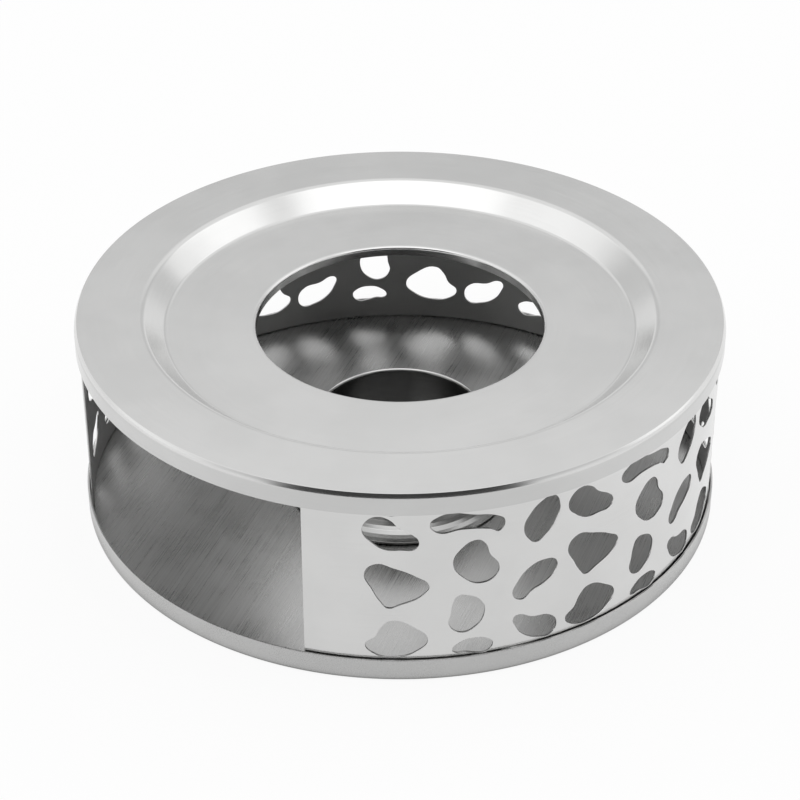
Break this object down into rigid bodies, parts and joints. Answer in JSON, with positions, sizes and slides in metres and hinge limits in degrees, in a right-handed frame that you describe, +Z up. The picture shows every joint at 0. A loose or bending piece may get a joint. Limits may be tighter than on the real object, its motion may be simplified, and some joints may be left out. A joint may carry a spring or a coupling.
{
  "type": "teapot warmer",
  "caption": "Round steel teapot warmer: a dished top plate with a collared flame hole on a pierced band with a candle door, over a rimmed pan with a tealight cup.",
  "frame": {"origin": "centre of the pan's underside, on the table", "axes": "+Z up along the body's axis; the candle door in the band opens towards -X and -Y"},
  "size_m": [0.15, 0.15, 0.0498],
  "materials": {
    "satin_top": "fine satin stainless steel",
    "satin_band": "smooth satin stainless steel, punched",
    "brushed_pan": "line-brushed stainless steel",
    "drawn_cup": "drawn stainless steel, bright"
  },
  "bodies": {
    "root": {"top_plate": "satin_top", "side_band": "satin_band", "base_pan": "brushed_pan", "candle_cup": "drawn_cup"}
  },
  "joints": []
}
